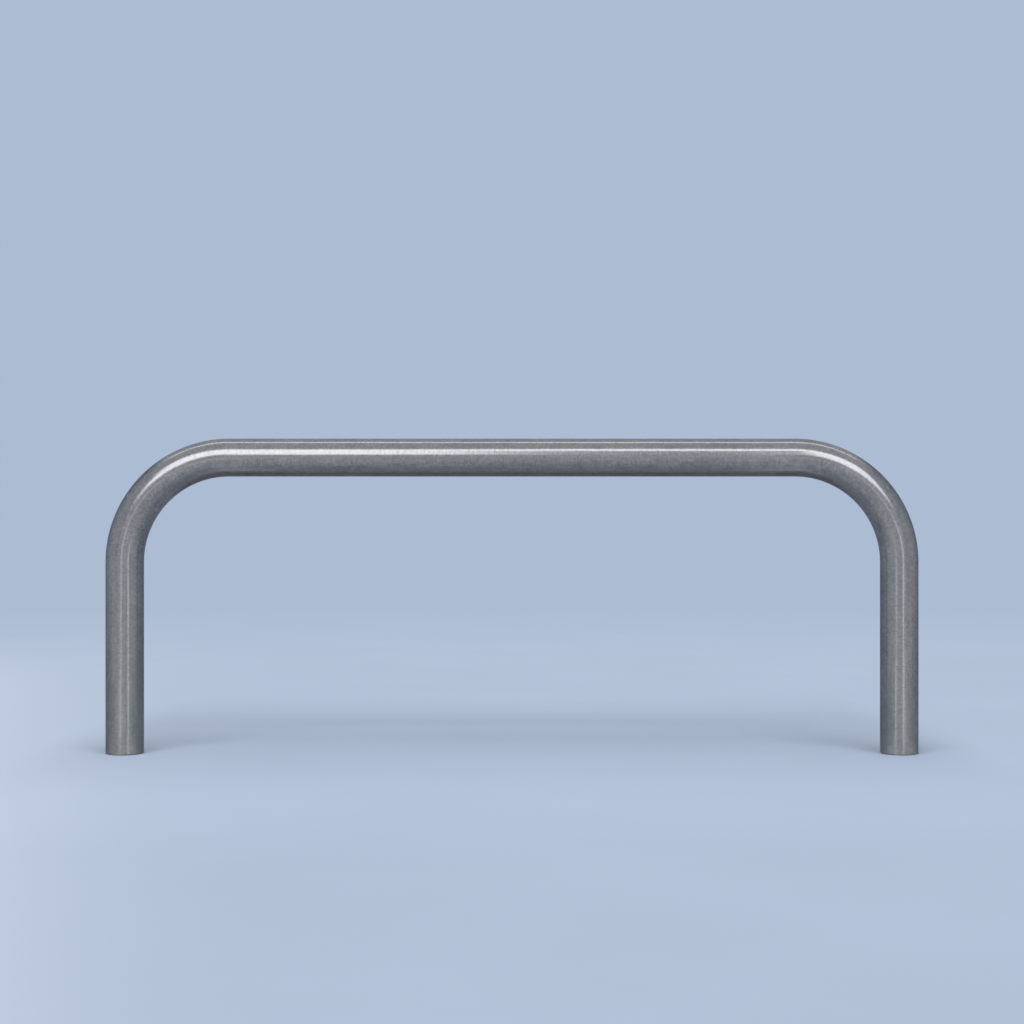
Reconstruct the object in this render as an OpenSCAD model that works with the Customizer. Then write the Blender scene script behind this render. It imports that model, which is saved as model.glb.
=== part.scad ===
// Hoop barrier: one steel tube bent into a low hoop. Each leg drops over a spigot that is
// anchored to the ground, and two countersunk screws at the back of each leg hold it there.
// The origin is at ground level, midway between the legs. X runs along the rail, Y towards
// the back and Z up. All sizes are in millimetres.

/* [Hoop] */
// Outside diameter of the hoop's tube
tube_d = 48.3; // [42.4:0.1:60.3]
// Wall thickness of the hoop's tube
tube_wall = 3.2; // [2.6:0.1:4]
// Distance between the centre lines of the two legs
leg_spacing = 985; // [500:5:2000]
// Height of the top of the rail above the ground
hoop_h = 400; // [300:5:900]
// Radius of each bend, measured to the tube's centre line
bend_r = 133; // [80:1:180]
// Bevel on the outer edge of each cut end of the tube
end_bevel = 1; // [0.2:0.1:1.2]
// Bevel on the inner edge of each cut end of the tube
bore_bevel = 0.8; // [0.2:0.1:1.2]

/* [Spigots] */
// Gap all round between the tube's bore and a spigot
spigot_gap = 0.2; // [0.1:0.05:0.8]
// Thickness of the disc that the anchor holds down
base_t = 8; // [5:0.5:15]
// Bevel on the lower edge of the disc
base_bevel = 0.8; // [0.2:0.1:2]
// Diameter of the anchor's hole through the disc
anchor_hole_d = 14.5; // [9:0.5:17]
// Length of the sleeve that stands on the disc
sleeve_h = 72; // [50:1:120]
// Wall thickness of the sleeve
sleeve_wall = 5; // [3:0.5:6]
// Bevel on the upper edge of the sleeve, which leads the hoop on to it
sleeve_bevel = 2; // [0.5:0.5:2.5]
// Leg of the fillet weld between the sleeve's bore and the disc
weld_leg = 3; // [2:0.5:4]

/* [Screws] */
// Thread diameter of each screw
screw_d = 5; // [4:0.5:6]
// Length of each screw, its countersunk head included
screw_len = 10; // [10:1:16]
// Diameter of a screw's head
head_d = 10; // [8.5:0.5:12]
// Height of the straight rim at the top of a head
head_rim = 0.3; // [0.1:0.1:0.5]
// Width across the flats of the hexagon socket in a head
socket_af = 3; // [2:0.5:4]
// Depth of the hexagon socket
socket_depth = 1.9; // [1:0.1:2.5]
// Bevel on the tip of each screw
tip_bevel = 0.6; // [0.2:0.1:1]
// Height of each leg's lower screw above the ground
lower_screw_z = 30; // [22:1:34]
// Distance between the two screws of a leg
screw_pitch = 30; // [16:1:32]
// Gap between a screw's thread and the tube
screw_gap = 0.25; // [0.1:0.05:0.5]
// Gap all round between a head and its countersink
head_gap = 0.1; // [0.05:0.05:0.3]
// Gap all round between a screw and its tapped hole in the sleeve
thread_gap = 0.05; // [0.02:0.01:0.1]

/* [Hidden] */

// Smoothness of the tube, the spigots and the screws
tube_fn = 96;
screw_fn = 48;
// How far a cut runs past the surface that it opens
cut_over = 1;

tube_r = tube_d / 2;
bore_r = tube_r - tube_wall;
leg_x = leg_spacing / 2;
rail_z = hoop_h - tube_r;
bend_x = leg_x - bend_r;
bend_z = rail_z - bend_r;

spigot_r = bore_r - spigot_gap;
sleeve_bore_r = spigot_r - sleeve_wall;
sleeve_top = base_t + sleeve_h;
anchor_r = anchor_hole_d / 2;

upper_screw_z = lower_screw_z + screw_pitch;
screw_r = screw_d / 2;
head_r = head_d / 2;
// A head is sunk until its rim is level with the round of the tube on both sides
head_y = sqrt(pow(tube_r, 2) - pow(head_r, 2));
// The head's underside is a right-angled cone, so it is as high as it is wide
cone_bottom = -head_rim - (head_r - screw_r);
seat_r = head_r + head_gap;
hole_r = screw_r + screw_gap;
seat_bottom = -head_rim - (seat_r - hole_r);

steel_grey = [0.47, 0.48, 0.50];
spigot_grey = [0.62, 0.63, 0.64];
screw_grey = [0.70, 0.71, 0.72];

// Solid rod of radius r along the hoop's centre line, running past both ends by over
module hoop_rod(r, over) {
    translate([-bend_x, 0, rail_z])
        rotate([0, 90, 0])
            cylinder(h = 2 * bend_x, r = r, $fn = tube_fn);
    for (side = [0, 1])
        mirror([side, 0, 0]) {
            translate([leg_x, 0, -over])
                cylinder(h = bend_z + over, r = r, $fn = tube_fn);
            translate([bend_x, 0, bend_z])
                rotate([90, 0, 0])
                    rotate_extrude(angle = 90, $fn = tube_fn)
                        translate([bend_r, 0])
                            circle(r = r, $fn = tube_fn);
        }
}

// Rings that bevel the outer and the inner edge of one cut end, which lies at z = 0
module end_bevels() {
    rotate_extrude($fn = tube_fn) {
        polygon([
            [tube_r - end_bevel - cut_over, -cut_over],
            [tube_r + cut_over, -cut_over],
            [tube_r + cut_over, end_bevel + cut_over]
        ]);
        polygon([
            [bore_r + bore_bevel + cut_over, -cut_over],
            [bore_r - cut_over, -cut_over],
            [bore_r - cut_over, bore_bevel + cut_over]
        ]);
    }
}

// Places a screw, or the cut for one: z = 0 is the top of the head and +Z points backwards
module at_screw(side, z) {
    translate([side * leg_x, head_y, z])
        rotate([-90, 0, 0])
            children();
}

// Countersunk hole through the tube's wall
module screw_hole() {
    rotate_extrude($fn = screw_fn)
        polygon([
            [0, -head_y],
            [hole_r, -head_y],
            [hole_r, seat_bottom],
            [seat_r, -head_rim],
            [seat_r, tube_r - head_y + cut_over],
            [0, tube_r - head_y + cut_over]
        ]);
}

// Hole in the sleeve for a screw's thread
module tapped_hole() {
    translate([0, 0, -head_y])
        cylinder(h = tube_r, r = screw_r + thread_gap, $fn = screw_fn);
}

module hoop_tube() {
    color(steel_grey)
        difference() {
            hoop_rod(tube_r, 0);
            hoop_rod(bore_r, cut_over);
            for (side = [-1, 1]) {
                translate([side * leg_x, 0, 0])
                    end_bevels();
                for (z = [lower_screw_z, upper_screw_z])
                    at_screw(side, z)
                        screw_hole();
            }
        }
}

module spigot_base(side) {
    color(spigot_grey)
        translate([side * leg_x, 0, 0])
            rotate_extrude($fn = tube_fn)
                polygon([
                    [anchor_r, 0],
                    [spigot_r - base_bevel, 0],
                    [spigot_r, base_bevel],
                    [spigot_r, base_t],
                    [anchor_r, base_t]
                ]);
}

module spigot_sleeve(side) {
    color(spigot_grey)
        difference() {
            translate([side * leg_x, 0, 0])
                rotate_extrude($fn = tube_fn)
                    polygon([
                        [sleeve_bore_r - weld_leg, base_t],
                        [spigot_r, base_t],
                        [spigot_r, sleeve_top - sleeve_bevel],
                        [spigot_r - sleeve_bevel, sleeve_top],
                        [sleeve_bore_r, sleeve_top],
                        [sleeve_bore_r, base_t + weld_leg]
                    ]);
            for (z = [lower_screw_z, upper_screw_z])
                at_screw(side, z)
                    tapped_hole();
        }
}

module leg_screw(side, z) {
    color(screw_grey)
        at_screw(side, z)
            difference() {
                rotate_extrude($fn = screw_fn)
                    polygon([
                        [0, -screw_len],
                        [screw_r - tip_bevel, -screw_len],
                        [screw_r, tip_bevel - screw_len],
                        [screw_r, cone_bottom],
                        [head_r, -head_rim],
                        [head_r, 0],
                        [0, 0]
                    ]);
                translate([0, 0, -socket_depth])
                    cylinder(h = socket_depth + cut_over, r = socket_af / sqrt(3), $fn = 6);
            }
}

module left_spigot_base() spigot_base(-1);
module right_spigot_base() spigot_base(1);
module left_spigot_sleeve() spigot_sleeve(-1);
module right_spigot_sleeve() spigot_sleeve(1);
module left_lower_screw() leg_screw(-1, lower_screw_z);
module left_upper_screw() leg_screw(-1, upper_screw_z);
module right_lower_screw() leg_screw(1, lower_screw_z);
module right_upper_screw() leg_screw(1, upper_screw_z);

hoop_tube();
left_spigot_base();
left_spigot_sleeve();
right_spigot_base();
right_spigot_sleeve();
left_lower_screw();
left_upper_screw();
right_lower_screw();
right_upper_screw();
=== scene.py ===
"""Looks of the hoop barrier, made around its packed model.

The tube is made straight and then bent, as the real one is, so that its grain and its screw
holes follow the bends. The screws get their threads and hexagon sockets. The discs and the
sleeves of the spigots keep their packed meshes and get turned steel. Lengths are in metres,
in the model's own frame: X along the rail, Y towards the back and Z up.
"""
import math

import bpy
import numpy as np
from bpy.props import FloatProperty, FloatVectorProperty, IntProperty, PointerProperty
from mathutils import Matrix, Vector


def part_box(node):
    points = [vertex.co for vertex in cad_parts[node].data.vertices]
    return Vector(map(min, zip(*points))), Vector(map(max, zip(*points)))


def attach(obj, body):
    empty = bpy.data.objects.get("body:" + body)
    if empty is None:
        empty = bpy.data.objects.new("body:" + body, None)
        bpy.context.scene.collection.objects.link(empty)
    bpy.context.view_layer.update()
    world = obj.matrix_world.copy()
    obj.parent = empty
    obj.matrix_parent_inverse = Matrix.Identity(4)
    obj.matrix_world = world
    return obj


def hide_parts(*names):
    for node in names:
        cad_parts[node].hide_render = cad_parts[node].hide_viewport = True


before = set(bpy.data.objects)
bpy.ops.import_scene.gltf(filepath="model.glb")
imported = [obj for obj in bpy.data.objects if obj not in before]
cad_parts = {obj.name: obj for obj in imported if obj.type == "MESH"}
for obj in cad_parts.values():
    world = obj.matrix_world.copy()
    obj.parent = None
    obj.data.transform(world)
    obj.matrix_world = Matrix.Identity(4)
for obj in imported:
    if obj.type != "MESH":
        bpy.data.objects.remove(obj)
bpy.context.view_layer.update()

bl_info = {
    "name": "Hoop barrier finish",
    "version": (1, 0, 0),
    "blender": (4, 5, 0),
    "location": "3D View > Sidebar > Hoop barrier",
    "description": "Bent tube, screws and steel finishes of a hoop barrier, with a plain studio",
    "category": "Object",
}

SIDES = {"left": -1, "right": 1}
LEVELS = ("lower", "upper")

TUBE_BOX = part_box("hoop_tube")
DISC_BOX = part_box("right_spigot_base")
SLEEVE_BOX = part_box("right_spigot_sleeve")
SCREW_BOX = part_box("right_lower_screw")
LEG_X = (DISC_BOX[0].x + DISC_BOX[1].x) / 2
TUBE_RADIUS = TUBE_BOX[1].x - LEG_X
RAIL_Z = TUBE_BOX[1].z - TUBE_RADIUS
HEAD_Y = SCREW_BOX[1].y
SCREW_Z = {
    level: sum(corner.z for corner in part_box(f"right_{level}_screw")) / 2 for level in LEVELS
}


class HoopTubeSizes(bpy.types.PropertyGroup):
    """Sizes of the bent tube"""

    outside_diameter: FloatProperty(
        name="Outside diameter",
        description="Outside diameter of the tube",
        default=2 * TUBE_RADIUS,
        min=0.03,
        max=0.08,
        precision=4,
        unit="LENGTH",
    )
    wall: FloatProperty(
        name="Wall",
        description="Wall thickness of the tube",
        default=0.0032,
        min=0.002,
        max=0.006,
        precision=4,
        unit="LENGTH",
    )
    leg_spacing: FloatProperty(
        name="Leg spacing",
        description="Distance between the centre lines of the two legs",
        default=2 * LEG_X,
        min=0.5,
        max=2,
        unit="LENGTH",
    )
    height: FloatProperty(
        name="Height",
        description="Height of the top of the rail above the ground",
        default=TUBE_BOX[1].z,
        min=0.25,
        max=1,
        unit="LENGTH",
    )
    bend_radius: FloatProperty(
        name="Bend radius",
        description="Radius of each bend, measured to the centre line",
        default=0.133,
        min=0.08,
        max=0.2,
        unit="LENGTH",
    )
    end_bevel: FloatProperty(
        name="End bevel",
        description="Bevel on the outer edge of each cut end",
        default=0.001,
        min=0,
        max=0.0015,
        precision=4,
        unit="LENGTH",
    )
    bore_bevel: FloatProperty(
        name="Bore bevel",
        description="Bevel on the inner edge of each cut end",
        default=0.0008,
        min=0,
        max=0.0015,
        precision=4,
        unit="LENGTH",
    )
    segments: IntProperty(
        name="Segments",
        description="Number of faces round the tube",
        default=128,
        min=24,
        max=256,
    )
    bend_step: FloatProperty(
        name="Bend step",
        description="Turn of the centre line from one ring of a bend to the next",
        default=math.radians(2),
        min=math.radians(0.5),
        max=math.radians(10),
        subtype="ANGLE",
    )


class LegScrewSizes(bpy.types.PropertyGroup):
    """Sizes of the countersunk screws and of their holes in the tube"""

    thread_diameter: FloatProperty(
        name="Thread diameter",
        description="Outside diameter of the thread",
        default=0.005,
        min=0.003,
        max=0.008,
        precision=4,
        unit="LENGTH",
    )
    thread_pitch: FloatProperty(
        name="Thread pitch",
        description="Distance from one turn of the thread to the next",
        default=0.0008,
        min=0.0005,
        max=0.0012,
        precision=4,
        unit="LENGTH",
    )
    length: FloatProperty(
        name="Length",
        description="Length of the screw, its head included",
        default=SCREW_BOX[1].y - SCREW_BOX[0].y,
        min=0.008,
        max=0.02,
        unit="LENGTH",
    )
    head_diameter: FloatProperty(
        name="Head diameter",
        description="Diameter of the countersunk head",
        default=SCREW_BOX[1].z - SCREW_BOX[0].z,
        min=0.006,
        max=0.014,
        precision=4,
        unit="LENGTH",
    )
    head_rim: FloatProperty(
        name="Head rim",
        description="Height of the straight rim at the top of the head",
        default=0.0003,
        min=0.0001,
        max=0.001,
        precision=4,
        unit="LENGTH",
    )
    socket_width: FloatProperty(
        name="Socket width",
        description="Width across the flats of the hexagon socket",
        default=0.003,
        min=0.002,
        max=0.005,
        precision=4,
        unit="LENGTH",
    )
    socket_depth: FloatProperty(
        name="Socket depth",
        description="Depth of the socket's flat sides",
        default=0.0019,
        min=0.001,
        max=0.003,
        precision=4,
        unit="LENGTH",
    )
    tip_bevel: FloatProperty(
        name="Tip bevel",
        description="Bevel on the tip of the screw",
        default=0.0006,
        min=0.0001,
        max=0.001,
        precision=4,
        unit="LENGTH",
    )
    shank_gap: FloatProperty(
        name="Gap round the thread",
        description="Gap between the thread and the hole in the tube",
        default=0.00025,
        min=0.0001,
        max=0.0005,
        precision=5,
        unit="LENGTH",
    )
    head_gap: FloatProperty(
        name="Gap round the head",
        description="Gap between the head and its countersink",
        default=0.0001,
        min=0.00002,
        max=0.0005,
        precision=5,
        unit="LENGTH",
    )


class SteelFinish(bpy.types.PropertyGroup):
    """Colours and grain of the steels"""

    hoop_colour: FloatVectorProperty(
        name="Hoop steel",
        description="Colour of the satin steel of the tube",
        default=(0.21, 0.202, 0.196),
        min=0,
        max=1,
        subtype="COLOR",
    )
    spigot_colour: FloatVectorProperty(
        name="Spigot steel",
        description="Colour of the turned steel of the discs and sleeves",
        default=(0.34, 0.35, 0.36),
        min=0,
        max=1,
        subtype="COLOR",
    )
    screw_colour: FloatVectorProperty(
        name="Screw steel",
        description="Colour of the plain steel of the screws",
        default=(0.45, 0.46, 0.47),
        min=0,
        max=1,
        subtype="COLOR",
    )
    # Painted shade: this tint darkens and warms the underside of the tube, in place of the
    # reflection of a darker floor
    underside_shade_tint: FloatVectorProperty(
        name="Underside shade",
        description="Tint of the painted shade on the underside of the tube",
        default=(0.79, 0.7, 0.64),
        min=0,
        max=1,
        subtype="COLOR",
    )
    line_width: FloatProperty(
        name="Line width",
        description="Width of the polishing lines that run round the tube",
        default=0.0017,
        min=0.0002,
        max=0.01,
        precision=4,
        unit="LENGTH",
    )
    mottle_size: FloatProperty(
        name="Mottle size",
        description="Size of the soft mottling of the satin steel",
        default=0.0025,
        min=0.0005,
        max=0.02,
        precision=4,
        unit="LENGTH",
    )


class StudioSettings(bpy.types.PropertyGroup):
    """Backdrop, floor, camera and the brightness of the lamps"""

    backdrop_colour: FloatVectorProperty(
        name="Backdrop",
        description="Colour of the backdrop and of the floor far away",
        default=(0.413, 0.503, 0.651),
        min=0,
        max=1,
        subtype="COLOR",
    )
    floor_colour: FloatVectorProperty(
        name="Floor",
        description="Colour of the lit floor near the hoop",
        default=(0.45, 0.538, 0.68),
        min=0,
        max=1,
        subtype="COLOR",
    )
    brightness: FloatProperty(
        name="Brightness",
        description="Factor on all the lamps",
        default=1,
        min=0,
        max=4,
        subtype="FACTOR",
    )
    camera_height: FloatProperty(
        name="Camera height",
        description="Height of the camera above the floor",
        default=0.3067,
        min=0.05,
        max=2,
        precision=4,
        unit="LENGTH",
    )
    camera_distance: FloatProperty(
        name="Camera distance",
        description="Distance of the camera in front of the hoop",
        default=2.4168,
        min=1,
        max=6,
        precision=4,
        unit="LENGTH",
    )
    focal_length: FloatProperty(
        name="Focal length",
        description="Focal length of the lens, in millimetres, on a sensor 36 mm wide",
        default=66.8,
        min=20,
        max=200,
        unit="CAMERA",
    )


PROPERTY_GROUPS = {
    "hoop_tube_sizes": HoopTubeSizes,
    "hoop_screw_sizes": LegScrewSizes,
    "hoop_steel_finish": SteelFinish,
    "hoop_studio": StudioSettings,
}


# Meshes


def mesh_object(name, vertices, faces):
    """A new object of one mesh, in the scene."""
    mesh = bpy.data.meshes.new(name)
    mesh.from_pydata(np.asarray(vertices).tolist(), [], faces)
    mesh.validate()
    made = bpy.data.objects.new(name, mesh)
    bpy.context.scene.collection.objects.link(made)
    return made


def loft(rings, closed=False):
    """Vertices and faces of a skin over rings of equal counts. It closes on itself or is capped."""
    count = len(rings[0])
    faces = []
    last = len(rings) if closed else len(rings) - 1
    for row in range(last):
        a, b = row * count, (row + 1) % len(rings) * count
        for i in range(count):
            j = (i + 1) % count
            faces.append((a + i, a + j, b + j, b + i))
    if not closed:
        faces.append(tuple(range(count))[::-1])
        faces.append(tuple(range((len(rings) - 1) * count, len(rings) * count)))
    return np.concatenate(rings), faces


def lathe_ring(radius, height, segments):
    """A ring round the Z axis. Radius is one value or one for each point."""
    angle = np.arange(segments) * 2 * math.pi / segments
    radius = np.broadcast_to(radius, segments)
    return np.stack([radius * np.cos(angle), radius * np.sin(angle), np.full(segments, height)], 1)


def read(collection, attribute, width=1, kind=np.float32):
    """One attribute of a mesh's collection as an array."""
    values = np.empty(len(collection) * width, kind)
    collection.foreach_get(attribute, values)
    return values.reshape(-1, width) if width > 1 else values


# The bent tube


class HoopLine:
    """The hoop's centre line, and the way from the straight tube to the bent one and back.

    A point of the straight tube is (along, back, out): the length from the middle of the rail,
    and the offsets from the centre line towards the back and towards the outside of the hoop.
    """

    def __init__(self, sizes):
        self.tube_radius = sizes.outside_diameter / 2
        self.bore_radius = self.tube_radius - sizes.wall
        self.bend_radius = sizes.bend_radius
        self.leg_x = sizes.leg_spacing / 2
        self.rail_z = sizes.height - self.tube_radius
        self.bend_x = self.leg_x - self.bend_radius
        self.bend_z = self.rail_z - self.bend_radius
        self.leg_start = self.bend_x + self.bend_radius * math.pi / 2
        self.half_length = self.leg_start + self.bend_z

    def turn(self, along):
        """How far the line has turned down from the rail, in radians."""
        return np.clip((np.abs(along) - self.bend_x) / self.bend_radius, 0, math.pi / 2)

    def bend(self, straight):
        """Bends points of the straight tube."""
        along, back, out = straight.T
        run, turn, reach = np.abs(along), self.turn(along), self.bend_radius + out
        x = np.minimum(run, self.bend_x) + reach * np.sin(turn)
        z = self.bend_z + reach * np.cos(turn) - np.maximum(run - self.leg_start, 0)
        return np.stack([np.where(along < 0, -x, x), back, z], 1)

    def bend_radial(self, straight):
        """Directions away from the centre line at points of the straight tube."""
        along, back, out = straight.T
        turn = self.turn(along)
        x = out * np.sin(turn)
        away = np.stack([np.where(along < 0, -x, x), back, out * np.cos(turn)], 1)
        return away / np.linalg.norm(away, axis=1, keepdims=True)

    def straighten(self, points):
        """Opens the bends out again, the reverse of bend."""
        x, back, z = points.T
        across, rise = np.abs(x) - self.bend_x, z - self.bend_z
        turn = np.clip(np.arctan2(across, rise), 0, math.pi / 2)
        turn = np.where(across <= 0, 0, np.where(rise <= 0, math.pi / 2, turn))
        reach = np.where(across <= 0, rise, np.where(rise <= 0, across, np.hypot(across, rise)))
        run = np.minimum(np.abs(x), self.bend_x) + self.bend_radius * turn
        run = run - np.minimum(rise, 0) * (across > 0)
        return np.stack([np.where(x < 0, -run, run), back, reach - self.bend_radius], 1)


# Longest step from one ring of the tube to the next, in the rail and in a leg
RAIL_RING_STEP = 0.045
LEG_RING_STEP = 0.03
HOLE_SEGMENTS = 64
# How far a hole's shape reaches to either side of the top of its screw's head
HOLE_INSIDE = 0.012
HOLE_OUTSIDE = 0.004
# A face counts as round when its normal lies this close to the direction from the centre line
ROUND_FACE_DOT = 0.995
SHARP_EDGE = math.radians(30)


def ring_places(line, sizes, bevel):
    """Lengths along the straight tube at which it gets rings, from the left end to the right."""
    rail = np.linspace(0, line.bend_x, math.ceil(line.bend_x / RAIL_RING_STEP) + 1)
    turns = np.linspace(0, math.pi / 2, math.ceil(math.pi / 2 / sizes.bend_step) + 1)
    bend = line.bend_x + line.bend_radius * turns
    end = line.half_length - bevel
    leg = np.linspace(line.leg_start, end, math.ceil(line.bend_z / LEG_RING_STEP) + 1)
    half = np.concatenate([rail, bend[1:], leg[1:]])
    return np.concatenate([-half[:0:-1], half])


def straight_tube(line, sizes):
    """Vertices and faces of the straight tube, with its bore and its bevelled ends."""
    end = line.half_length
    outside = [(along, line.tube_radius) for along in ring_places(line, sizes, sizes.end_bevel)]
    inside = [(along, line.bore_radius) for along in ring_places(line, sizes, sizes.bore_bevel)]
    outer_edge = line.tube_radius - sizes.end_bevel
    inner_edge = line.bore_radius + sizes.bore_bevel
    profile = [(-end, outer_edge), *outside, (end, outer_edge)]
    profile += [(end, inner_edge), *inside[::-1], (-end, inner_edge)]
    angle = np.arange(sizes.segments) * 2 * math.pi / sizes.segments
    rings = [
        np.stack([np.full_like(angle, along), radius * np.cos(angle), radius * np.sin(angle)], 1)
        for along, radius in profile
    ]
    return loft(rings, closed=True)


def screw_hole_cutter(sizes, line):
    """One object that holds the shapes of all the countersunk holes."""
    hole = sizes.thread_diameter / 2 + sizes.shank_gap
    seat = sizes.head_diameter / 2 + sizes.head_gap
    profile = [
        (hole, -HOLE_INSIDE),
        (hole, hole - seat - sizes.head_rim),
        (seat, -sizes.head_rim),
        (seat, HOLE_OUTSIDE),
    ]
    shape, faces = loft([lathe_ring(*point, HOLE_SEGMENTS) for point in profile])
    vertices, all_faces = [], []
    for side in SIDES.values():
        for z in SCREW_Z.values():
            start = len(vertices) * len(shape)
            placed = np.stack([shape[:, 0], shape[:, 2], -shape[:, 1]], 1)
            vertices.append(placed + (side * line.leg_x, HEAD_Y, z))
            all_faces += [tuple(start + i for i in face) for face in faces]
    return mesh_object("screw_hole_cutter", np.concatenate(vertices), all_faces)


def cut_away(target, cutter):
    """Cuts one object's shape out of another and removes the cutter."""
    cut = target.modifiers.new("Screw holes", "BOOLEAN")
    cut.operation = "DIFFERENCE"
    cut.solver = "EXACT"
    cut.object = cutter
    graph = bpy.context.evaluated_depsgraph_get()
    mesh = bpy.data.meshes.new_from_object(target.evaluated_get(graph))
    target.modifiers.clear()
    whole, target.data = target.data, mesh
    bpy.data.meshes.remove(whole)
    mesh.name = target.name
    bpy.data.meshes.remove(cutter.data)


def shade_round(mesh, line):
    """Gives the tube's round faces exact normals, and records each point's place before bending."""
    points = read(mesh.vertices, "co", 3)
    straight = line.straighten(points)
    attribute = mesh.attributes.new("straightened", "FLOAT_VECTOR", "POINT")
    attribute.data.foreach_set("vector", straight.astype(np.float32).ravel())

    mesh.shade_smooth()
    mesh.set_sharp_from_angle(angle=SHARP_EDGE)
    corner_vertex = read(mesh.loops, "vertex_index", kind=np.int32)
    face_size = read(mesh.polygons, "loop_total", kind=np.int32)
    corner_face = np.repeat(np.arange(len(mesh.polygons)), face_size)
    face_normal = read(mesh.polygons, "normal", 3)[corner_face]
    radial = line.bend_radial(straight)[corner_vertex]
    facing = np.einsum("ij,ij->i", face_normal, radial)
    is_round = np.minimum.reduceat(np.abs(facing), face_starts(face_size)) > ROUND_FACE_DOT
    is_round = is_round[corner_face]
    normals = read(mesh.corner_normals, "vector", 3)
    normals[is_round] = (radial * np.sign(facing)[:, None])[is_round]
    mesh.normals_split_custom_set(normals.tolist())

    unwrap_tube(mesh, straight[corner_vertex], face_size, line)


def face_starts(face_size):
    """Index of each face's first corner."""
    return np.concatenate([[0], np.cumsum(face_size)[:-1]])


def unwrap_tube(mesh, straight, face_size, line):
    """A UV map of the opened-out tube, which gives the brushing its direction."""
    angle = np.arctan2(straight[:, 2], straight[:, 1])
    first = np.repeat(angle[face_starts(face_size)], face_size)
    angle = first + (angle - first + math.pi) % (2 * math.pi) - math.pi
    uv = np.stack([straight[:, 0], angle * line.tube_radius], 1)
    layer = mesh.uv_layers.new(name="opened_out")
    layer.data.foreach_set("uv", uv.astype(np.float32).ravel())


class HOOP_OT_bent_tube(bpy.types.Operator):
    """Makes the hoop's tube, bends it and drills its screw holes"""

    bl_idname = "hoop_barrier.bent_tube"
    bl_label = "Bent tube"

    def execute(self, context):
        sizes = context.scene.hoop_tube_sizes
        line = HoopLine(sizes)
        straight, faces = straight_tube(line, sizes)
        tube = mesh_object("bent_tube", line.bend(straight), faces)
        cut_away(tube, screw_hole_cutter(context.scene.hoop_screw_sizes, line))
        shade_round(tube.data, line)
        tube.data.materials.append(hoop_steel(context.scene.hoop_steel_finish))
        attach(tube, "root")
        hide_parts("hoop_tube")
        return {"FINISHED"}


# The screws

SCREW_SEGMENTS = 48
RINGS_PER_TURN = 8
# Shares of the pitch: the thread's depth, half its crest, the width of a flank, and the plain
# stretch below the head
THREAD_DEPTH = 0.61
CREST = 1 / 16
FLANK = 5 / 16
PLAIN_SHANK = 0.5
# Bevels on the edge of the head and on the edge of its socket
EDGE_BREAK = 0.00006
SOCKET_LEAD = 0.00018
# The cone at the bottom of the socket: its depth, and the share of the width that its end keeps
SOCKET_TIP = 0.0004
SOCKET_TIP_SHARE = 0.2


def thread_radius(sizes, height):
    """Radii of the threaded shank round one ring at this height, which is below the head."""
    turn = np.arange(SCREW_SEGMENTS) / SCREW_SEGMENTS
    from_crest = np.abs((height / sizes.thread_pitch - turn + 0.5) % 1 - 0.5)
    depth = np.clip((from_crest - CREST) / FLANK, 0, 1) * THREAD_DEPTH * sizes.thread_pitch
    run_out = np.clip((cone_bottom(sizes) - height) / sizes.thread_pitch - PLAIN_SHANK, 0, 1)
    bevelled = sizes.thread_diameter / 2 - sizes.tip_bevel + height + sizes.length
    return np.minimum(sizes.thread_diameter / 2 - depth * run_out, bevelled)


def cone_bottom(sizes):
    """Height at which the head's cone meets the shank. The top of the head is at 0."""
    return (sizes.thread_diameter - sizes.head_diameter) / 2 - sizes.head_rim


def hexagon_radius(width):
    """Radii of a hexagon of this width across the flats, one for each point of a screw's ring."""
    sixth = math.pi / 3
    angle = np.arange(SCREW_SEGMENTS) * 2 * math.pi / SCREW_SEGMENTS
    return width / 2 / np.cos(angle % sixth - sixth / 2)


def screw_mesh(sizes):
    """Rings of a countersunk screw from its tip up, over the head and down into the socket."""
    head, rim = sizes.head_diameter / 2, sizes.head_rim
    socket = hexagon_radius(sizes.socket_width)
    turns = (cone_bottom(sizes) + sizes.length) / sizes.thread_pitch
    heights = np.linspace(-sizes.length, cone_bottom(sizes), math.ceil(turns * RINGS_PER_TURN))
    rings = [(thread_radius(sizes, height), height) for height in heights]
    rings += [
        (head, -rim),
        (head, -EDGE_BREAK),
        (head - EDGE_BREAK, 0),
        (socket.max() + SOCKET_LEAD, 0),
        (socket, -SOCKET_LEAD),
        (socket, -sizes.socket_depth),
        (socket * SOCKET_TIP_SHARE, -sizes.socket_depth - SOCKET_TIP),
    ]
    return loft([lathe_ring(*ring, SCREW_SEGMENTS) for ring in rings])


class HOOP_OT_leg_screws(bpy.types.Operator):
    """Makes the countersunk screws at the back of the legs"""

    bl_idname = "hoop_barrier.leg_screws"
    bl_label = "Leg screws"

    def execute(self, context):
        vertices, faces = screw_mesh(context.scene.hoop_screw_sizes)
        steel = screw_steel(context.scene.hoop_steel_finish)
        for side_name, side in SIDES.items():
            for level, z in SCREW_Z.items():
                screw = mesh_object(f"{side_name}_{level}_socket_screw", vertices, faces)
                screw.location = (side * LEG_X, HEAD_Y, z)
                screw.rotation_euler = (-math.pi / 2, 0, 0)
                screw.data.shade_smooth()
                screw.data.set_sharp_from_angle(angle=SHARP_EDGE)
                screw.data.materials.append(steel)
                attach(screw, "root")
                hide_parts(f"{side_name}_{level}_screw")
        return {"FINISHED"}


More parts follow.
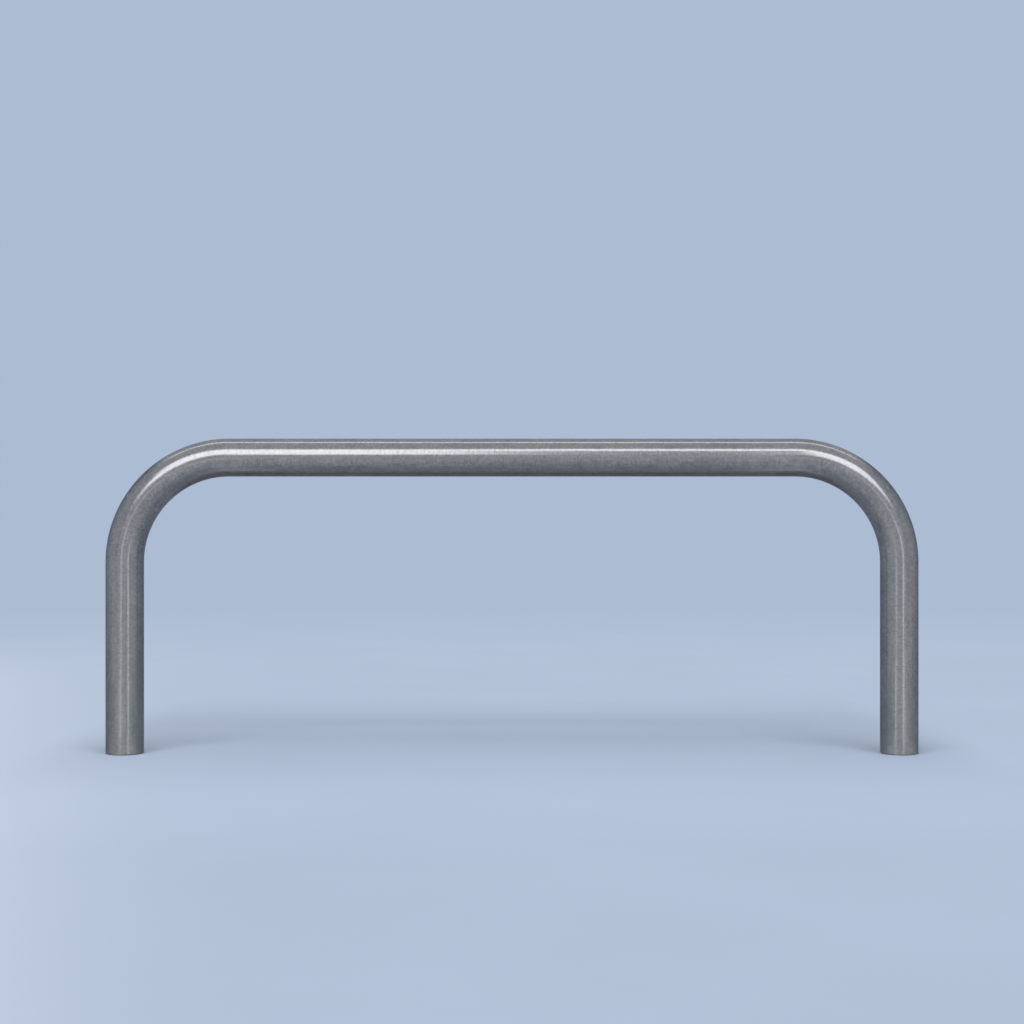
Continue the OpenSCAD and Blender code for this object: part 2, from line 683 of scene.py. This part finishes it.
class HOOP_OT_spigots(bpy.types.Operator):
    """Finishes the discs and sleeves that hold the legs"""

    bl_idname = "hoop_barrier.spigots"
    bl_label = "Spigots"

    def execute(self, context):
        steel = spigot_steel(context.scene.hoop_steel_finish)
        for side_name in SIDES:
            for part in ("base", "sleeve"):
                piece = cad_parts[f"{side_name}_spigot_{part}"]
                piece.data.materials.clear()
                piece.data.materials.append(steel)
        return {"FINISHED"}


# Shader helpers

# Places of the sockets of a Mix node that mixes colours
MIX_FACTOR, MIX_FIRST, MIX_SECOND = 0, 6, 7
MIX_RESULT = 2


def add_node(tree, kind, inputs=None, **settings):
    """Adds a shader node. Each input is a value, or a socket to link."""
    made = tree.nodes.new(kind)
    for name, value in settings.items():
        setattr(made, name, value)
    for name, value in (inputs or {}).items():
        if isinstance(value, bpy.types.NodeSocket):
            tree.links.new(value, made.inputs[name])
        else:
            made.inputs[name].default_value = value
    return made


def math_node(tree, operation, *values):
    """The result of a Math node."""
    made = add_node(tree, "ShaderNodeMath", dict(enumerate(values)), operation=operation)
    return made.outputs[0]


def vary(tree, source, low, high):
    """Spreads a value that runs from 0 to 1 between two values."""
    spread = add_node(tree, "ShaderNodeMapRange", {"Value": source, "To Min": low, "To Max": high})
    return spread.outputs["Result"]


def ease(tree, value, start, end):
    """Runs smoothly from 0 to 1 as a value goes from start to end."""
    return add_node(
        tree,
        "ShaderNodeMapRange",
        {"Value": value, "From Min": start, "From Max": end},
        interpolation_type="SMOOTHSTEP",
    ).outputs["Result"]


def squared(tree, value):
    """The value times itself."""
    return math_node(tree, "MULTIPLY", value, value)


def blend_colours(tree, factor, first, second, way="MIX"):
    """The colour between two colours, or the first one multiplied by part of the second."""
    mix = tree.nodes.new("ShaderNodeMix")
    mix.data_type = "RGBA"
    mix.blend_type = way
    for index, value in {MIX_FACTOR: factor, MIX_FIRST: first, MIX_SECOND: second}.items():
        if isinstance(value, bpy.types.NodeSocket):
            tree.links.new(value, mix.inputs[index])
        else:
            mix.inputs[index].default_value = value
    return mix.outputs[MIX_RESULT]


def shade(colour, factor):
    """A colour made lighter or darker, with full alpha."""
    return (*(channel * factor for channel in colour), 1)


def new_group(name, inputs, outputs):
    """A shader node group with these sockets. Returns it with its inner input and output nodes."""
    tree = bpy.data.node_groups.new(name, "ShaderNodeTree")
    for socket, kind in inputs.items():
        tree.interface.new_socket(socket, in_out="INPUT", socket_type=kind)
    for socket, kind in outputs.items():
        tree.interface.new_socket(socket, in_out="OUTPUT", socket_type=kind)
    return tree, tree.nodes.new("NodeGroupInput"), tree.nodes.new("NodeGroupOutput")


def group_node(tree, group, **inputs):
    """Places a group in a material. A keyword's underscores stand for spaces."""
    named = {name.replace("_", " "): value for name, value in inputs.items()}
    return add_node(tree, "ShaderNodeGroup", named, node_tree=group)


def steel_grain():
    """Group: soft noise whose grains have one size along the first axis and one across it."""
    found = bpy.data.node_groups.get("Steel grain")
    if found:
        return found
    tree, entry, end = new_group(
        "Steel grain",
        {
            "Position": "NodeSocketVector",
            "Size along": "NodeSocketFloat",
            "Size round": "NodeSocketFloat",
        },
        {"Grain": "NodeSocketFloat"},
    )
    along, round_it = entry.outputs["Size along"], entry.outputs["Size round"]
    size = add_node(tree, "ShaderNodeCombineXYZ", {"X": along, "Y": round_it, "Z": round_it})
    place = add_node(
        tree,
        "ShaderNodeVectorMath",
        {0: entry.outputs["Position"], 1: size.outputs[0]},
        operation="DIVIDE",
    )
    noise = add_node(
        tree,
        "ShaderNodeTexNoise",
        {"Vector": place.outputs[0], "Scale": 1.0, "Detail": 3.0, "Roughness": 0.6},
    )
    spread = add_node(
        tree, "ShaderNodeMapRange", {"Value": noise.outputs[0], "From Min": 0.25, "From Max": 0.75}
    )
    tree.links.new(spread.outputs["Result"], end.inputs["Grain"])
    return tree


def turned_position():
    """Group: a place whose first axis runs outwards and upwards from the lathe's axis."""
    found = bpy.data.node_groups.get("Turned position")
    if found:
        return found
    tree, entry, end = new_group(
        "Turned position",
        {"Position": "NodeSocketVector", "Axis distance": "NodeSocketFloat"},
        {"Position": "NodeSocketVector", "Radius": "NodeSocketFloat", "Height": "NodeSocketFloat"},
    )
    split = add_node(tree, "ShaderNodeSeparateXYZ", {0: entry.outputs["Position"]})
    x = math_node(tree, "ABSOLUTE", split.outputs["X"])
    x = math_node(tree, "SUBTRACT", x, entry.outputs["Axis distance"])
    y, z = split.outputs["Y"], split.outputs["Z"]
    flat = add_node(tree, "ShaderNodeCombineXYZ", {"X": x, "Y": y})
    radius = add_node(
        tree, "ShaderNodeVectorMath", {0: flat.outputs[0]}, operation="LENGTH"
    ).outputs["Value"]
    out = math_node(tree, "ADD", radius, z)
    turned = add_node(tree, "ShaderNodeCombineXYZ", {"X": out, "Y": x, "Z": y})
    tree.links.new(turned.outputs[0], end.inputs["Position"])
    tree.links.new(radius, end.inputs["Radius"])
    tree.links.new(z, end.inputs["Height"])
    return tree


def new_material(name):
    """A material with its Principled shader. Returns both, and the material's tree."""
    material = bpy.data.materials.new(name)
    material.use_nodes = True
    tree = material.node_tree
    shader = tree.nodes["Principled BSDF"]
    shader.inputs["Metallic"].default_value = 1
    return material, tree, shader


def grain(tree, place, size_along, size_round):
    """One layer of grain in a material."""
    made = group_node(
        tree, steel_grain(), Position=place, Size_along=size_along, Size_round=size_round
    )
    return made.outputs["Grain"]


def layered(tree, layers, weights):
    """Adds layers of grain up around 0.5, each with its own weight."""
    total = None
    for name, weight in weights.items():
        part = math_node(tree, "MULTIPLY_ADD", layers[name], weight, -weight / 2)
        total = math_node(tree, "ADD", total, part) if total else part
    return math_node(tree, "ADD", total, 0.5)


# Steels

# Grain of the tube: sizes along it and round it, and each layer's weight in the three effects
LINE_LENGTH = 0.005
PATCH_SIZE = (0.009, 0.006)
STREAK_SIZE = (0.12, 0.0016)
CLOUD_SIZE = (0.05, 0.03)
FILM_WEIGHTS = {"mottle": 0.7, "lines": 0.4, "patches": 0.8, "clouds": 0.7}
TONE_WEIGHTS = {"lines": 0.36, "mottle": 0.24, "streaks": 0.12, "patches": 0.12, "clouds": 0.12}
RELIEF_WEIGHTS = {"lines": 0.05, "mottle": 0.1, "patches": 0.3}
TONE_SPREAD = 0.5
RELIEF_DEPTH = 0.00008
METALLIC_CLEAN, METALLIC_FILM = 1.02, 0.78
SATIN_ROUGHNESS = (0.187, 0.197)
DUST_STRENGTH = 0.5
# How far the normal points down where the dust starts, where it ends, and where the painted
# underside shade starts
DUST_STARTS = (0.02, 0.2)
DUST_ENDS = (0.4, 0.65)
UNDERSIDE_SHADE_STARTS = (0.68, 0.85)

# Turned steels
RING_LENGTH = 0.02
TURNED_MOTTLE = 0.003
TURNED_TONE_WEIGHTS = {"rings": 0.6, "mottle": 0.6}
TURNED_RELIEF_WEIGHTS = {"rings": 0.8, "mottle": 0.2}
TURNED_TONE_SPREAD = 0.2
TURNED_RELIEF_DEPTH = 0.000003
# The weld runs in the corner between a sleeve's bore and its disc
WELD_RADIUS = 0.0145
WELD_HEIGHT = 0.0015
WELD_TINT = (0.23, 0.15, 0.09)
WELD_TINT_SHARE = 0.7
WELD_TINT_FROM, WELD_TINT_TO = 0.002, 0.007


def hoop_steel(finish):
    """Satin steel, polished round the tube."""
    material, tree, shader = new_material("hoop_satin_steel")
    place = add_node(
        tree, "ShaderNodeAttribute", attribute_type="GEOMETRY", attribute_name="straightened"
    ).outputs["Vector"]
    layers = {
        "lines": grain(tree, place, finish.line_width, LINE_LENGTH),
        "mottle": grain(tree, place, finish.mottle_size, finish.mottle_size),
        "patches": grain(tree, place, *PATCH_SIZE),
        "streaks": grain(tree, place, *STREAK_SIZE),
        "clouds": grain(tree, place, *CLOUD_SIZE),
    }
    # Dust makes the grain stronger where the steel turns a little towards the ground
    dusty = math_node(
        tree, "SUBTRACT", facing_down(tree, *DUST_STARTS), facing_down(tree, *DUST_ENDS)
    )
    strength = math_node(tree, "MULTIPLY_ADD", dusty, DUST_STRENGTH, 1.0)
    tone = math_node(tree, "SUBTRACT", layered(tree, layers, TONE_WEIGHTS), 0.5)
    tone = math_node(tree, "MULTIPLY_ADD", tone, strength, 0.5)
    colour = toned(tree, tone, finish.hoop_colour, TONE_SPREAD)
    # Painted shade: the underside of the tube is made darker and warmer
    painted_underside_shade = facing_down(tree, *UNDERSIDE_SHADE_STARTS)
    colour = blend_colours(tree, painted_underside_shade, colour, shade(finish.underside_shade_tint, 1), way="MULTIPLY")
    tree.links.new(colour, shader.inputs["Base Color"])
    # A dull film is thicker where the steel is lighter, so the grain is faint in the highlights
    film = layered(tree, layers, FILM_WEIGHTS)
    metallic = vary(tree, film, METALLIC_CLEAN, METALLIC_FILM)
    tree.links.new(metallic, shader.inputs["Metallic"])
    roughness = vary(tree, layers["mottle"], *SATIN_ROUGHNESS)
    tree.links.new(roughness, shader.inputs["Roughness"])
    shader.inputs["Anisotropic"].default_value = 0.3
    shader.inputs["Specular Tint"].default_value = (0.6, 0.6, 0.62, 1)
    tangent = add_node(tree, "ShaderNodeTangent", direction_type="UV_MAP", uv_map="opened_out")
    tree.links.new(tangent.outputs[0], shader.inputs["Tangent"])
    add_relief(tree, shader, layered(tree, layers, RELIEF_WEIGHTS), RELIEF_DEPTH)
    return material


def facing_down(tree, start, end):
    """Runs from 0 to 1 as a surface's normal points down by between these two amounts."""
    normal = add_node(tree, "ShaderNodeTexCoord").outputs["Normal"]
    up = add_node(tree, "ShaderNodeSeparateXYZ", {0: normal}).outputs["Z"]
    return ease(tree, up, -start, -end)


def toned(tree, tone, colour, spread):
    """A colour made darker and lighter by up to a share of itself, as a tone runs from 0 to 1."""
    return blend_colours(tree, tone, shade(colour, 1 - spread), shade(colour, 1 + spread))


def add_relief(tree, shader, height, depth):
    """Gives a material a fine relief of this depth."""
    bump = add_node(
        tree, "ShaderNodeBump", {"Height": height, "Distance": depth, "Strength": 1.0}
    )
    tree.links.new(bump.outputs[0], shader.inputs["Normal"])


def turned_steel(name, colour, axis_distance, ring_width, roughness):
    """Bright steel with fine rings from the lathe.

    Returns the material, its tree, its shader and its colour, and the place on the lathe.
    """
    material, tree, shader = new_material(name)
    place = add_node(tree, "ShaderNodeTexCoord").outputs["Object"]
    turned = group_node(tree, turned_position(), Position=place, Axis_distance=axis_distance)
    layers = {
        "rings": grain(tree, turned.outputs["Position"], ring_width, RING_LENGTH),
        "mottle": grain(tree, place, TURNED_MOTTLE, TURNED_MOTTLE),
    }
    tone = layered(tree, layers, TURNED_TONE_WEIGHTS)
    colour = toned(tree, tone, colour, TURNED_TONE_SPREAD)
    tree.links.new(colour, shader.inputs["Base Color"])
    tree.links.new(vary(tree, layers["mottle"], *roughness), shader.inputs["Roughness"])
    add_relief(tree, shader, layered(tree, layers, TURNED_RELIEF_WEIGHTS), TURNED_RELIEF_DEPTH)
    return material, tree, shader, colour, turned


def spigot_steel(finish):
    """Turned steel of the discs and sleeves, with the tint of the weld between them."""
    material, tree, shader, plain, turned = turned_steel(
        "spigot_turned_steel",
        finish.spigot_colour,
        axis_distance=LEG_X,
        ring_width=0.0004,
        roughness=(0.3, 0.38),
    )
    weld_z = SLEEVE_BOX[0].z + WELD_HEIGHT
    out = math_node(tree, "SUBTRACT", turned.outputs["Radius"], WELD_RADIUS)
    up = math_node(tree, "SUBTRACT", turned.outputs["Height"], weld_z)
    reach = math_node(tree, "SQRT", math_node(tree, "ADD", squared(tree, out), squared(tree, up)))
    near_weld = ease(tree, reach, WELD_TINT_TO, WELD_TINT_FROM)
    share = math_node(tree, "MULTIPLY", near_weld, WELD_TINT_SHARE)
    tinted = blend_colours(tree, share, plain, shade(WELD_TINT, 1))
    tree.links.new(tinted, shader.inputs["Base Color"])
    return material


def screw_steel(finish):
    """Plain steel of the screws, turned about each screw's own axis."""
    return turned_steel(
        "screw_plain_steel",
        finish.screw_colour,
        axis_distance=0.0,
        ring_width=0.0003,
        roughness=(0.24, 0.32),
    )[0]


# The stage

FLOOR_RADIUS = 60
FLOOR_SEGMENTS = 96
FLOOR_DEPTH = 0.00005
# Share of white in the light of the world on matt surfaces
SKY_LIGHT = 0.07
# Distances from the line between the feet. Up to the first the floor is lit by the lamps, from the
# second it has its own plain colour, and from the third to the fourth that becomes the backdrop's
FLOOR_ZONES = (0.1, 0.75, 1.6, 4.0)
# Weight of the distance beyond a foot, for the first two
BEYOND_FEET = 5.5
FLOOR_ROUGHNESS = 0.3
FLOOR_SPECULAR = 0.5
FLOOR_IOR = 1.5
FLOOR_CLOUDING = 0.04
# A painted patch of light makes a fan of paler floor at the left, which spreads from a point in
# front of the hoop. It lies between these shares of x to the distance from there, which counts as
# PALE_NEAREST or more, and it fades out between the distances PALE_FADE
PALE_FAN_Y = -2.42
PALE_FROM, PALE_FULL = 0.12, 0.3
PALE_NEAREST = 1.1
PALE_FADE = (3.3, 4.8)
PAINTED_LIGHT_FLOOR = (0.555, 0.628, 0.758)
# Width of the camera's sensor in millimetres
SENSOR_WIDTH = 36

# Soft edges of a lamp: the shares of its width and height over which it fades at its left, right,
# lower and upper edge
SHARP = (0, 0, 0, 0)
SOFT = (0.3, 0.3, 0.3, 0.3)


def facing_rail(x_from, x_to, low_angle, high_angle, distance):
    """Place of a lamp that faces the rail and is seen from it between two angles of elevation."""
    middle = math.radians(low_angle + high_angle) / 2
    half = math.radians(high_angle - low_angle) / 2
    away = Vector((0, -math.cos(middle), math.sin(middle)))
    height = 2 * distance * math.tan(half)
    centre = Vector(((x_from + x_to) / 2, 0, RAIL_Z)) + away * distance
    return centre, (x_to - x_from, 0, 0), Vector((0, away.z, -away.y)) * height


POOL_Y, POOL_Z = -0.11, 0.0004
POOL_WIDTH, POOL_DEPTH = 0.4, 0.24
POOL_EDGES = (0.4, 0.4, 0.25, 0.7)


def foot_pool(x):
    """Place of a lamp that lies on the floor in front of the foot at this x."""
    return (x, POOL_Y, POOL_Z), (POOL_WIDTH, 0, 0), (0, -POOL_DEPTH, 0)


UPRIGHT_WIDTH = 0.35
UPRIGHT_FOOT_Z = 0.01
UPRIGHT_EDGES = (0, 0, 0, 1)


def upright(x, y, height):
    """Place of a narrow lamp that stands on the floor."""
    return (x, y, UPRIGHT_FOOT_Z + height / 2), (UPRIGHT_WIDTH, 0, 0), (0, 0, height)


FOOT_LINE_DISTANCE = 0.11
FOOT_LINE_WIDTH, FOOT_LINE_HEIGHT = 0.013, 0.15
FOOT_LINE_Z = 0.076
FOOT_LINE_EDGES = (0, 0, 0, 0.6)


def foot_line(x, azimuth):
    """Place of a narrow lamp close to the foot at this x, turned to one side of straight ahead."""
    turn = math.radians(azimuth)
    across = Vector((math.cos(turn), math.sin(turn), 0))
    away = Vector((math.sin(turn), -math.cos(turn), 0))
    centre = Vector((x, 0, FOOT_LINE_Z)) + away * FOOT_LINE_DISTANCE
    return centre, across * FOOT_LINE_WIDTH, (0, 0, FOOT_LINE_HEIGHT)


NEUTRAL = (1, 1, 1)
COOL = (0.985, 1.01, 1.075)
WARM = (1, 0.975, 0.94)
# Each lamp: its centre, the vectors along its width and height, its brightness, its soft edges and
# its colour. Seen from the side that it lights, its width runs to the left.
LAMPS = {
    "front_panel": ((0, -4, 2), (8, 0, 0), (0, 0, 4), 0.55, (0.15, 0.15, 0, 0), NEUTRAL),
    "overhead_panel": ((0, 1.5, 4), (8, 0, 0), (0, 11, 0), 0.55, SHARP, WARM),
    "left_panel": ((-4, 0, 2), (0, -8, 0), (0, 0, 4), 0.38, (0.75, 0, 0, 0), NEUTRAL),
    "right_panel": ((4, 0, 2), (0, 8, 0), (0, 0, 4), 0.38, (0, 0.75, 0, 0), NEUTRAL),
    "floor_card": ((0, -1.99, 0.01), (8, 0, 0), (0, -3.9, 0), 0.34, (0, 0, 0.23, 0), NEUTRAL),
    "left_side_card": ((-1.5, -1.7, 0.011), (1.9, 0, 0), (0, -2.6, 0), 0.06, SOFT, NEUTRAL),
    "right_side_card": ((1.5, -1.7, 0.011), (1.9, 0, 0), (0, -2.6, 0), 0.11, SOFT, NEUTRAL),
    "left_foot_card": ((-0.6, -0.3, 0.01), (0.5, 0, 0), (0, -0.55, 0), 0.3, SOFT, NEUTRAL),
    "right_foot_card": ((0.6, -0.3, 0.01), (0.5, 0, 0), (0, -0.55, 0), 0.3, SOFT, NEUTRAL),
    "left_foot_pool": (*foot_pool(-LEG_X), 0.42, POOL_EDGES, NEUTRAL),
    "right_foot_pool": (*foot_pool(LEG_X), 0.42, POOL_EDGES, NEUTRAL),
    "left_softbox": (*facing_rail(-2.2, -0.05, 17, 48.8, 2.5), 3.35, SHARP, COOL),
    "right_softbox": (*facing_rail(0.85, 2.4, 17, 48.5, 2.5), 3.35, SHARP, COOL),
    "gap_strip": (*facing_rail(-0.05, 0.85, 40.7, 50.7, 2.5), 3.85, SHARP, COOL),
    "overhead_strip": (*facing_rail(-2, 2, 100, 107, 2.0), 2.6, SHARP, COOL),
    "left_upright_strip": (*upright(-1.03, -2.92, 0.36), 2.4, UPRIGHT_EDGES, COOL),
    "right_upright_strip": (*upright(1.19, -2.79, 0.5), 3.0, UPRIGHT_EDGES, COOL),
    "left_foot_outer_line": (*foot_line(-LEG_X, -12.5), 0.65, FOOT_LINE_EDGES, COOL),
    "left_foot_inner_line": (*foot_line(-LEG_X, 29.5), 0.65, FOOT_LINE_EDGES, COOL),
    "right_foot_inner_line": (*foot_line(LEG_X, -29.5), 0.65, FOOT_LINE_EDGES, COOL),
    "right_foot_outer_line": (*foot_line(LEG_X, 12.5), 0.65, FOOT_LINE_EDGES, COOL),
    "shadow_panel": (*facing_rail(-1.5, 1.5, 54, 75, 2.5), 1.14, SHARP, WARM),
}
# Lamps that show only in the steel, and one that lights only matt surfaces
GLOSS_ONLY = ("overhead_strip", *(name for name in LAMPS if name.endswith("_line")))
MATT_ONLY = "shadow_panel"


def add_lamp(name, centre, across, up, brightness, fades, colour):
    """A rectangular lamp whose own surface has this brightness."""
    across, up = Vector(across), Vector(up)
    lamp = bpy.data.lights.new(name, "AREA")
    lamp.color = colour
    lamp.shape = "RECTANGLE"
    lamp.size = across.length
    lamp.size_y = up.length
    lamp.energy = brightness * math.pi * lamp.size * lamp.size_y
    made = bpy.data.objects.new(name, lamp)
    made.visible_diffuse = name not in GLOSS_ONLY
    made.visible_glossy = name != MATT_ONLY
    x_axis, y_axis = across.normalized(), up.normalized()
    axes = Matrix((x_axis, y_axis, x_axis.cross(y_axis))).transposed()
    made.matrix_world = Matrix.Translation(centre) @ axes.to_4x4()
    bpy.context.scene.collection.objects.link(made)
    if any(fades):
        fade_edges(lamp, fades)


def fade_edges(lamp, fades):
    """Lets a lamp's surface grow dimmer towards its edges."""
    lamp.use_nodes = True
    tree = lamp.node_tree
    place = add_node(tree, "ShaderNodeNewGeometry").outputs["Parametric"]
    split = add_node(tree, "ShaderNodeSeparateXYZ", {0: place})
    strength = 1.0
    for share, axis, from_end in zip(fades, "XXYY", (False, True, False, True)):
        if share:
            reach = split.outputs[axis]
            if from_end:
                reach = math_node(tree, "SUBTRACT", 1.0, reach)
            strength = math_node(tree, "MULTIPLY", strength, ease(tree, reach, 0.0, share))
    tree.links.new(strength, tree.nodes["Emission"].inputs["Strength"])


def seen_by_eye(tree):
    """1 where the camera sees a surface itself, in a gloss or through glass, and 0 elsewhere."""
    path = add_node(tree, "ShaderNodeLightPath").outputs
    seen = math_node(tree, "MAXIMUM", path["Is Camera Ray"], path["Is Glossy Ray"])
    return math_node(tree, "MAXIMUM", seen, path["Is Transmission Ray"])


def floor_material(studio):
    """Smooth floor, lit near the hoop. Farther away its plain colours end in the backdrop's."""
    material = bpy.data.materials.new("smooth_floor")
    material.use_nodes = True
    tree = material.node_tree
    tree.nodes.clear()
    place = add_node(tree, "ShaderNodeTexCoord").outputs["Object"]
    colour = floor_colour(tree, place, studio)
    plain_share = floor_zone(tree, place, *FLOOR_ZONES[:2], BEYOND_FEET)
    far_share = floor_zone(tree, place, *FLOOR_ZONES[2:], 1.0)
    # The camera sees a matt floor, and the steel a smooth one that mirrors the lamps
    mirroring = add_node(tree, "ShaderNodeLightPath").outputs["Is Glossy Ray"]
    lit = add_node(
        tree,
        "ShaderNodeBsdfPrincipled",
        {
            "Base Color": colour,
            "Roughness": FLOOR_ROUGHNESS,
            "Specular IOR Level": math_node(tree, "MULTIPLY", mirroring, FLOOR_SPECULAR),
        },
    )
    far = blend_colours(tree, far_share, colour, shade(studio.backdrop_colour, 1))
    plain = add_node(tree, "ShaderNodeEmission", {"Color": far})
    gloss = add_node(tree, "ShaderNodeBsdfAnisotropic", {"Roughness": FLOOR_ROUGHNESS})
    near_share = math_node(tree, "SUBTRACT", 1.0, far_share)
    gloss_share = add_node(tree, "ShaderNodeFresnel", {"IOR": FLOOR_IOR}).outputs[0]
    gloss_share = math_node(tree, "MULTIPLY", gloss_share, mirroring)
    gloss_share = math_node(tree, "MULTIPLY", gloss_share, near_share)
    plain = mix_shaders(tree, gloss_share, plain, gloss)
    plain_share = math_node(tree, "MULTIPLY", plain_share, seen_by_eye(tree))
    mix = mix_shaders(tree, plain_share, lit, plain)
    add_node(tree, "ShaderNodeOutputMaterial", {"Surface": mix.outputs[0]})
    return material


def mix_shaders(tree, factor, first, second):
    """Mixes the first outputs of two shader nodes."""
    return add_node(
        tree, "ShaderNodeMixShader", {0: factor, 1: first.outputs[0], 2: second.outputs[0]}
    )


def floor_colour(tree, place, studio):
    """The floor's colour, faintly clouded, and paler at the left, where a patch of light is
    painted.
    """
    clouds = add_node(
        tree, "ShaderNodeTexNoise", {"Vector": place, "Scale": 2.5, "Detail": 4.0, "Roughness": 0.6}
    ).outputs[0]
    clouded = toned(tree, clouds, studio.floor_colour, FLOOR_CLOUDING)
    split = add_node(tree, "ShaderNodeSeparateXYZ", {0: place})
    away = math_node(tree, "SUBTRACT", split.outputs["Y"], PALE_FAN_Y)
    away = math_node(tree, "MAXIMUM", away, PALE_NEAREST)
    aside = math_node(tree, "DIVIDE", math_node(tree, "MULTIPLY", split.outputs["X"], -1.0), away)
    left = add_node(
        tree,
        "ShaderNodeMapRange",
        {"Value": aside, "From Min": PALE_FROM, "From Max": PALE_FULL},
    ).outputs["Result"]
    near_by = ease(tree, away, PALE_FADE[1], PALE_FADE[0])
    # Painted light: a soft patch of light on the floor at the left
    painted_light = math_node(tree, "MULTIPLY", squared(tree, left), near_by)
    return blend_colours(tree, painted_light, clouded, shade(PAINTED_LIGHT_FLOOR, 1))


def floor_zone(tree, place, start, end, weight_beyond):
    """Runs from 0 to 1 between two distances from the line between the feet.

    The distance beyond a foot along that line gets its own weight.
    """
    split = add_node(tree, "ShaderNodeSeparateXYZ", {0: place})
    beyond = math_node(tree, "SUBTRACT", math_node(tree, "ABSOLUTE", split.outputs["X"]), LEG_X)
    beyond = math_node(tree, "MULTIPLY", math_node(tree, "MAXIMUM", beyond, 0.0), weight_beyond)
    flat = add_node(tree, "ShaderNodeCombineXYZ", {"X": beyond, "Y": split.outputs["Y"]})
    distance = add_node(tree, "ShaderNodeVectorMath", {0: flat.outputs[0]}, operation="LENGTH")
    return ease(tree, distance.outputs["Value"], start, end)


def add_floor(studio):
    """A round floor, just below the feet."""
    ring = lathe_ring(FLOOR_RADIUS, -FLOOR_DEPTH, FLOOR_SEGMENTS)
    floor = mesh_object("floor", ring, [tuple(range(FLOOR_SEGMENTS))])
    floor.data.materials.append(floor_material(studio))


def set_backdrop(studio):
    """A world of one plain colour, which lights matt surfaces only a little."""
    world = bpy.data.worlds.new("backdrop")
    world.use_nodes = True
    tree = world.node_tree
    background = tree.nodes["Background"]
    colour = blend_colours(
        tree, seen_by_eye(tree), shade((1, 1, 1), SKY_LIGHT), shade(studio.backdrop_colour, 1)
    )
    tree.links.new(colour, background.inputs["Color"])
    bpy.context.scene.world = world


def add_camera(studio):
    """A level camera in front of the hoop, at the photograph's viewing angle."""
    camera = bpy.data.objects.new("camera", bpy.data.cameras.new("camera"))
    camera.data.lens = studio.focal_length
    camera.data.sensor_width = SENSOR_WIDTH
    camera.location = (0, -studio.camera_distance, studio.camera_height)
    camera.rotation_euler = (math.pi / 2, 0, 0)
    bpy.context.scene.collection.objects.link(camera)
    bpy.context.scene.camera = camera


class HOOP_OT_stage(bpy.types.Operator):
    """Makes the floor, the backdrop, the lamps and the camera"""

    bl_idname = "hoop_barrier.stage"
    bl_label = "Floor, lamps and camera"

    def execute(self, context):
        studio = context.scene.hoop_studio
        add_camera(studio)
        add_floor(studio)
        set_backdrop(studio)
        for name, (centre, across, up, brightness, fades, colour) in LAMPS.items():
            add_lamp(name, centre, across, up, brightness * studio.brightness, fades, colour)
        context.scene.view_settings.view_transform = "Standard"
        return {"FINISHED"}


OPERATORS = (HOOP_OT_stage, HOOP_OT_bent_tube, HOOP_OT_leg_screws, HOOP_OT_spigots)


class HOOP_PT_finish(bpy.types.Panel):
    """Sidebar panel with the sizes, the finishes and a button for each piece"""

    bl_idname = "HOOP_PT_finish"
    bl_label = "Hoop barrier"
    bl_space_type = "VIEW_3D"
    bl_region_type = "UI"
    bl_category = "Hoop barrier"

    def draw(self, context):
        for name, group in PROPERTY_GROUPS.items():
            box = self.layout.box()
            box.label(text=group.__doc__)
            for prop in group.__annotations__:
                box.prop(getattr(context.scene, name), prop)
        for operator in OPERATORS:
            self.layout.operator(operator.bl_idname)


def register():
    for name, group in PROPERTY_GROUPS.items():
        bpy.utils.register_class(group)
        setattr(bpy.types.Scene, name, PointerProperty(type=group))
    for operator in OPERATORS:
        bpy.utils.register_class(operator)
    bpy.utils.register_class(HOOP_PT_finish)


def unregister():
    bpy.utils.unregister_class(HOOP_PT_finish)
    for operator in reversed(OPERATORS):
        bpy.utils.unregister_class(operator)
    for name, group in reversed(PROPERTY_GROUPS.items()):
        delattr(bpy.types.Scene, name)
        bpy.utils.unregister_class(group)


def main():
    register()
    for operator in OPERATORS:
        getattr(bpy.ops.hoop_barrier, operator.bl_idname.split(".")[1])()


if __name__ == "__main__":
    main()
